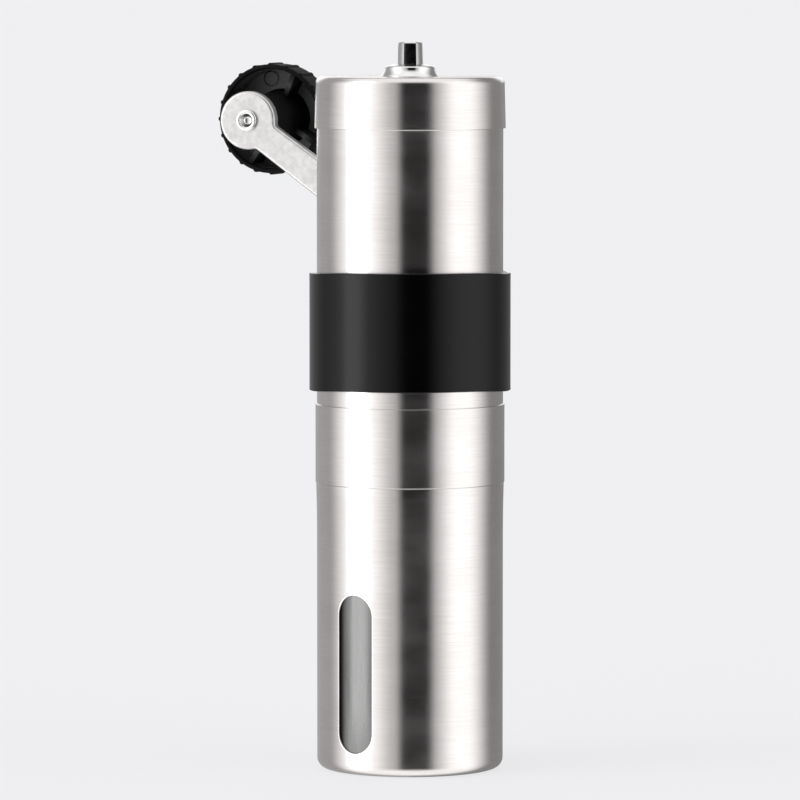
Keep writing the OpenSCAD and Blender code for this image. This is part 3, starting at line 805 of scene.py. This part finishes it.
def build_arm():
    """Stamped plate with rounded edges, round ends and a Z bend."""
    knob_low, knob_high = ARM_SHIFT - ARM_KNOB / 2, ARM_SHIFT + ARM_KNOB / 2
    hub_low, hub_high = ARM_SHIFT - ARM_HUB / 2, ARM_SHIFT + ARM_HUB / 2
    knob_end = disc_end(crank_length, KNOB_DISC, knob_low, knob_high, 1.6, 1)
    hub_end = disc_end(0, HUB_DISC, -hub_high, -hub_low, 2.0, -1)
    outline = knob_end + hub_end
    holes = []
    turns = [-2 * pi * k / 48 for k in range(48)]
    for x, r in ((crank_length, PIN_R), (0, SOCKET_R)):
        holes.append([Vector((x + r * cos(a), r * sin(a))) for a in turns])

    bm = bmesh.new()
    half, edge, arris = PLATE / 2, 0.7, 0.12
    levels = [(edge + 0.3, -half)]
    for k in range(6):
        a = radians(90) * k / 5
        levels.append((edge * (1 - sin(a)), -half + edge * (1 - cos(a))))
    for k in range(3):
        a = radians(90) * k / 2
        levels.append((arris * (1 - cos(a)), half - arris * (1 - sin(a))))
    levels.append((arris + 0.3, half))
    rings = [[bm.verts.new((p.x, p.y, z)) for p in inset(outline, d)] for d, z in levels]
    for low, high in zip(rings, rings[1:]):
        strip(bm, low, high)
    caps = {-half: [rings[0]], half: [rings[-1]]}
    for hole in holes:
        walls = [[bm.verts.new((p.x, p.y, z)) for p in hole] for z in (-half, half)]
        strip(bm, walls[0], walls[1])
        caps[-half].append(walls[0])
        caps[half].append(walls[1])
    for loops in caps.values():
        edges = []
        for loop in loops:
            for a, b in zip(loop, loop[1:] + loop[:1]):
                edges.append(bm.edges.get((a, b)) or bm.edges.new((a, b)))
        bmesh.ops.triangle_fill(bm, edges=edges, use_beauty=True)
    cuts = 25
    for i in range(cuts + 1):
        x = BEND_START + (BEND_END - BEND_START) * i / cuts
        geometry = bm.verts[:] + bm.edges[:] + bm.faces[:]
        bmesh.ops.bisect_plane(bm, geom=geometry, plane_co=(x, 0, 0), plane_no=(1, 0, 0), dist=1e-5)
    for v in bm.verts:
        v.co = bend(*v.co)
    return piece("crank_plate", bm, "crank", "crank_steel", ["crank_arm"], CRANK)


def build_socket():
    """Sleeve with a hexagonal hole for the shaft's drive end."""
    bm = bmesh.new()
    chamfer, lead = 0.4, 0.35
    outer = [(SOCKET_R - chamfer, SOCKET_IN), (SOCKET_R, SOCKET_IN + chamfer),
             (SOCKET_R, SOCKET_OUT - chamfer), (SOCKET_R - chamfer, SOCKET_OUT)]
    inner = [(SOCKET_HEX + lead, SOCKET_OUT), (SOCKET_HEX, SOCKET_OUT - lead),
             (SOCKET_HEX, SOCKET_IN + lead), (SOCKET_HEX + lead, SOCKET_IN)]
    angles = [2 * pi * k / 72 for k in range(72)]

    def hex_ring(r, z):
        distances = [r * cos(pi / 6) / cos((a + pi / 6) % (pi / 3) - pi / 6) for a in angles]
        return [bm.verts.new((q * cos(a), q * sin(a), z)) for q, a in zip(distances, angles)]

    rings = [ring(bm, r, z, angles) for r, z in outer]
    rings += [hex_ring(r, z) for r, z in inner]
    for low, high in zip(rings, rings[1:] + rings[:1]):
        strip(bm, low, high)
    return piece("crank_hex_socket", bm, "crank", "crank_steel", ["crank_socket"], CRANK)


def build_rivet():
    """Tubular rivet, rolled over on the plate's near side and headed inside the knob."""
    near = plate_in - 1
    hole, flare, head, head_high = 1.85, 3.05, 4.5, STEM_TOP + 1.2
    outline = rounded([(0, near + 2.9, 0), (1.3, near + 2.5, 0.9), (hole, near + 1.2, 0.6),
                       (hole, near, 0.42), (flare, near, 0.5), (flare, plate_in, 0.1), (PIN_R, plate_in, 0),
                       (PIN_R, STEM_TOP, 0), (head, STEM_TOP, 0.2), (head, head_high, 0.5),
                       (0, head_high, 0)], 6)
    return piece("knob_rivet", lathe(outline, 72), "crank", "rivet_steel", ["knob_pin"], KNOB)


def build_knob_washer():
    """Washer between the plate and the knob's stem."""
    hole, r, low, high = PIN_R + 0.05, 5.4, plate_out + 0.01, plate_out + 0.8
    outline = rounded([(hole, low, 0.1), (r, low, 0.2), (r, high, 0.2), (hole, high, 0.1)], 3)
    return piece("knob_spacer", lathe(outline, 72), "crank", "washer_steel", ["knob_washer"], KNOB)


build_arm()
build_socket()
build_rivet()
build_knob_washer()


# ---------------------------------------------------------------- knob

RIDGES = 20
RIDGE_H = 0.4
RIDGE_FOOT, RIDGE_FLAT = radians(2.5), radians(1.2)     # half widths of a ridge's foot and top
KNOB_SIDE = 15.5
KNOB_WALL = 1.3
KNOB_INNER = KNOB_SIDE - KNOB_WALL
DOME_EDGE = 13.6            # where the domed top meets its rounded shoulder
BORE_TOP = 41.5
CAP_R = 4.85
CAP_EDGE = 0.3              # funnel round the cap's seat
MARK = (9.3, 7.25)          # middle of the ejector mark
MARK_GROOVE = (1.87, 2.2)   # the mark's groove, from its middle
knob_rim = plate_out + 15.5
ceiling = knob_rim + 10
shoulder = knob_rim + 10.5
cap_foot = knob_rim + 12.6
knob_top = knob_rim + 15.99
stem_foot = plate_out + 1.1
dome_r = (KNOB_SIDE ** 2 + (knob_top - shoulder) ** 2) / (2 * (knob_top - shoulder))


def dome_z(r):
    """Height of the knob's domed top at a distance from its axis."""
    return knob_top - dome_r + sqrt(dome_r * dome_r - r * r)


def knob_skin():
    """Hollow mushroom with a flared stem inside and ridges round its side."""
    bore = PIN_R + 0.06
    outline = rounded([(bore, stem_foot, 0.15), (5.6, stem_foot, 0.3), (6.2, stem_foot + 7, 0),
                       (7.3, knob_rim, 0), (7.8, ceiling, 0.8), (KNOB_INNER - 0.2, ceiling, 0.8),
                       (KNOB_INNER, knob_rim, 0.5), (KNOB_SIDE, knob_rim, 0.5),
                       (KNOB_SIDE, shoulder - 0.4, 0.9), (DOME_EDGE, dome_z(DOME_EDGE), 0)])
    seat = CAP_R + CAP_EDGE
    for i in range(1, 9):
        r = DOME_EDGE - (DOME_EDGE - seat) * i / 8
        outline.append((r, dome_z(r)))
    outline += rounded([(seat, dome_z(seat), 0), (CAP_R, dome_z(CAP_R), 0.15), (CAP_R, BORE_TOP, 0.2),
                        (bore, BORE_TOP, 0)])[1:]

    pitch = 2 * pi / RIDGES

    def swell(angle, r, z):
        if r < KNOB_SIDE - 0.5 or z < knob_rim + 0.05:
            return 0.0
        turn = (angle + pitch / 2) % pitch - pitch / 2
        flank = clamp((RIDGE_FOOT - abs(turn)) / (RIDGE_FOOT - RIDGE_FLAT))
        ends = clamp((z - knob_rim) / 0.3) * clamp((shoulder + 0.2 - z) / 1.2)
        return RIDGE_H * ends * flank

    side_rows = 5
    dense = []
    for (r, z), (next_r, next_z) in zip(outline, outline[1:] + outline[:1]):
        dense.append((r, z))
        if abs(r - KNOB_SIDE) < 1e-6 and abs(next_r - KNOB_SIDE) < 1e-6:
            dense += [(r, z + (next_z - z) * k / side_rows) for k in range(1, side_rows)]
    return lathe(dense, RIDGES * 22, swell=swell)


def add_ribs(bm):
    """Four ribs between the knob's side and its stem."""
    half, inner, outer, root = 0.7, 6.9, KNOB_INNER + 0.2, ceiling + 0.3
    profile = [(inner, knob_rim + 3.2), ((inner + outer) / 2, knob_rim + 2.2), (outer, knob_rim + 1.2),
               (outer, root), (inner, root)]
    for i in range(4):
        turn = Matrix.Rotation(radians(-8) + i * pi / 2, 4, "Z")
        near, far = ([bm.verts.new(turn @ Vector((r, y, z))) for r, z in profile] for y in (-half, half))
        strip(bm, near, far)
        bm.faces.new(near)
        bm.faces.new(list(reversed(far)))


def add_mark(bm):
    """Ejector mark on the knob's ceiling: a low disc in a round groove."""
    mark = [(0, ceiling - 0.06), (1.85, ceiling - 0.06), (1.9, ceiling + 0.1), (2.05, ceiling + 0.1),
            (2.1, ceiling - 0.16), (2.35, ceiling - 0.16), (2.4, ceiling + 0.3), (0, ceiling + 0.3)]
    disc = lathe(mark, 40)
    disc.transform(Matrix.Translation((*MARK, 0)))
    spare = bpy.data.meshes.new("ejector_mark")
    disc.to_mesh(spare)
    disc.free()
    bm.from_mesh(spare)
    bpy.data.meshes.remove(spare)


def mark_polish_and_sheen(shell):
    """Marks the knob's polished inside, which also gets a painted sheen: its ceiling fully, its wall less,
    the mark's groove not.
    """
    to_knob = KNOB.inverted() @ Matrix.Scale(1 / MM, 4)
    marks = shell.data.attributes.new("polish_and_sheen", "FLOAT", "POINT")
    for v, mark in zip(shell.data.vertices, marks.data):
        x, y, z = to_knob @ v.co
        inside = 8.4 < hypot(x, y) < KNOB_INNER + 0.1 and knob_rim + 0.5 < z < ceiling + 0.5
        groove = MARK_GROOVE[0] < hypot(x - MARK[0], y - MARK[1]) < MARK_GROOVE[1]
        if inside and not groove:
            # Painted sheen and polish: full on the ceiling, weaker on the wall
            mark.value = 1.0 if z > ceiling - 2.5 else 0.7


def build_knob():
    """Knob with its ridges, ribs and ejector mark, and the plug in its top."""
    bm = knob_skin()
    add_ribs(bm)
    add_mark(bm)
    mark_polish_and_sheen(piece("knob_shell", bm, "knob", "knob_plastic", ["knob"], KNOB))

    cap_r = CAP_R - 0.05
    cap = [(CAP_R * 0.95 * k / 5, dome_z(CAP_R * 0.95 * k / 5)) for k in range(6)]
    cap += [(cap_r, dome_z(CAP_R) - 0.15), (cap_r, cap_foot), (0, cap_foot)]
    return piece("knob_plug", lathe(cap, 72), "knob", "knob_plastic", ["knob_cap"], KNOB)


build_knob()


# ---------------------------------------------------------------- CAD pieces that keep their shape

INNER_SLOTS = {
    "window_pane": "clear_plastic", "burr_housing": "black_plastic", "housing_seal": "black_plastic",
    "outer_burr": "burr_ceramic", "burr_retainer": "black_plastic", "shaft_bush": "white_plastic",
    "lid_liner": "black_plastic", "lid_bush": "white_plastic", "shaft_clip": "washer_steel",
    "thrust_washer": "washer_steel", "burr_spring": "washer_steel", "inner_burr": "burr_ceramic",
    "burr_carrier": "black_plastic", "spring_seat": "washer_steel", "adjust_dial": "black_plastic",
    "dial_nut": "nut_brass", "click_disc": "washer_steel",
}
for node, slot in INNER_SLOTS.items():
    carried = frame["nodes"][node]
    carried.data.materials.clear()
    carried.data.materials.append(LOOKS[slot])


# ---------------------------------------------------------------- studio

BACKGROUND = (0.835, 0.835, 0.850)
FLOOR_TONE = (0.22, 0.22, 0.225)
FLOOR_GLOW = 0.78
FLOOR_SIZE = 80.0           # metres
FLOOR_DROP = 0.0001
LENS = 286.47
CAMERA_PLACE = (-0.00273, -1.73339, 0.22402)
CAMERA_DOWN = radians(4.07)


def studio_light():
    """Soft light all round: two tall soft boxes at the sides, a dark gap behind the camera."""
    world = bpy.data.worlds.new("studio")
    bpy.context.scene.world = world
    world.use_nodes = True
    tree = world.node_tree
    tree.nodes.clear()
    direction = add(tree, "ShaderNodeTexCoord").outputs["Generated"]
    split = add(tree, "ShaderNodeSeparateXYZ", {0: direction})
    x, y, z = split.outputs
    # Degrees round the grinder from the camera's side, positive to the camera's right
    turn = maths(tree, "MULTIPLY", maths(tree, "ARCTAN2", x, maths(tree, "MULTIPLY", y, -1.0)), degrees(1))

    def step(start, end, high=1.0):
        """Soft edge of a light: 0 at the start turn, full at the end turn."""
        if start < end:
            return spread(tree, turn, start, end, 0, high)
        return spread(tree, turn, end, start, high, 0)

    def times(a, b):
        return maths(tree, "MULTIPLY", a, b)

    def plus(*parts):
        total = parts[0]
        for part in parts[1:]:
            total = maths(tree, "ADD", total, part)
        return total

    def fade(amount, a, b):
        return plus(times(a, maths(tree, "SUBTRACT", 1.0, amount)), times(b, amount))

    left_box = times(plus(step(-7, -20, 0.58), step(-17, -54, 0.80)), step(-121, -77))
    left_strip = times(step(-50, -62, 1.8), step(-86, -76))
    right_box = times(plus(step(20, 34, 0.50), step(26, 60, 0.92)), step(122, 74))
    sides = plus(step(-80, -126, 0.42), step(74, 122, 0.27))
    rear_height = times(spread(tree, z, 0, 0.1, 0, 1), spread(tree, z, 0.3, 0.45, 1, 0))
    rear = times(plus(step(140, 165, 0.9), step(-140, -165, 0.9)), rear_height)
    level = plus(left_box, left_strip, right_box, sides, rear)
    dome = fade(spread(tree, z, 0.60, 0.85, 0, 1), level, 1.15)
    below = times(spread(tree, z, -0.7, -0.35, 1, 0), spread(tree, y, 0.0, 0.5, 1, 0))
    dome = fade(below, dome, 1.25)

    light = add(tree, "ShaderNodeBackground", {"Color": (1, 1, 1, 1), "Strength": dome})
    plain = add(tree, "ShaderNodeBackground", {"Color": (*BACKGROUND, 1), "Strength": 1.0})
    seen = add(tree, "ShaderNodeLightPath").outputs["Is Camera Ray"]
    mixed = add(tree, "ShaderNodeMixShader", {0: seen, 1: light.outputs[0], 2: plain.outputs[0]})
    output = add(tree, "ShaderNodeOutputWorld")
    tree.links.new(mixed.outputs[0], output.inputs["Surface"])


def studio_floor():
    """Plain pale floor, lit a little from below like a light table."""
    bm = bmesh.new()
    bmesh.ops.create_grid(bm, x_segments=8, y_segments=8, size=FLOOR_SIZE / 2)
    mesh = bpy.data.meshes.new("floor")
    bm.to_mesh(mesh)
    bm.free()
    floor = bpy.data.objects.new("floor", mesh)
    bpy.context.scene.collection.objects.link(floor)
    material = bpy.data.materials.new("floor")
    material.use_nodes = True
    tree = material.node_tree
    tree.nodes.clear()
    matt = add(tree, "ShaderNodeBsdfDiffuse", {"Color": (*FLOOR_TONE, 1)})
    glow = add(tree, "ShaderNodeEmission", {"Color": (*BACKGROUND, 1), "Strength": FLOOR_GLOW})
    both = add(tree, "ShaderNodeAddShader", {0: matt.outputs[0], 1: glow.outputs[0]})
    output = add(tree, "ShaderNodeOutputMaterial")
    tree.links.new(both.outputs[0], output.inputs["Surface"])
    mesh.materials.append(material)
    floor.location.z = -FLOOR_DROP
    # The surroundings alone light the grinder, so only the camera sees the floor
    floor.visible_glossy = False
    floor.visible_diffuse = False
    floor.visible_transmission = False
    floor.visible_shadow = False


def camera():
    """Long lens a little above the grinder's middle, tilted down."""
    data = bpy.data.cameras.new("camera")
    data.sensor_width = 36.0
    data.lens = LENS
    data.clip_end = 200.0
    made = bpy.data.objects.new("camera", data)
    made.location = CAMERA_PLACE
    made.rotation_euler = (radians(90) - CAMERA_DOWN, 0, 0)
    bpy.context.scene.collection.objects.link(made)
    bpy.context.scene.camera = made


studio_light()
studio_floor()
camera()
bpy.context.scene.view_settings.view_transform = "Standard"
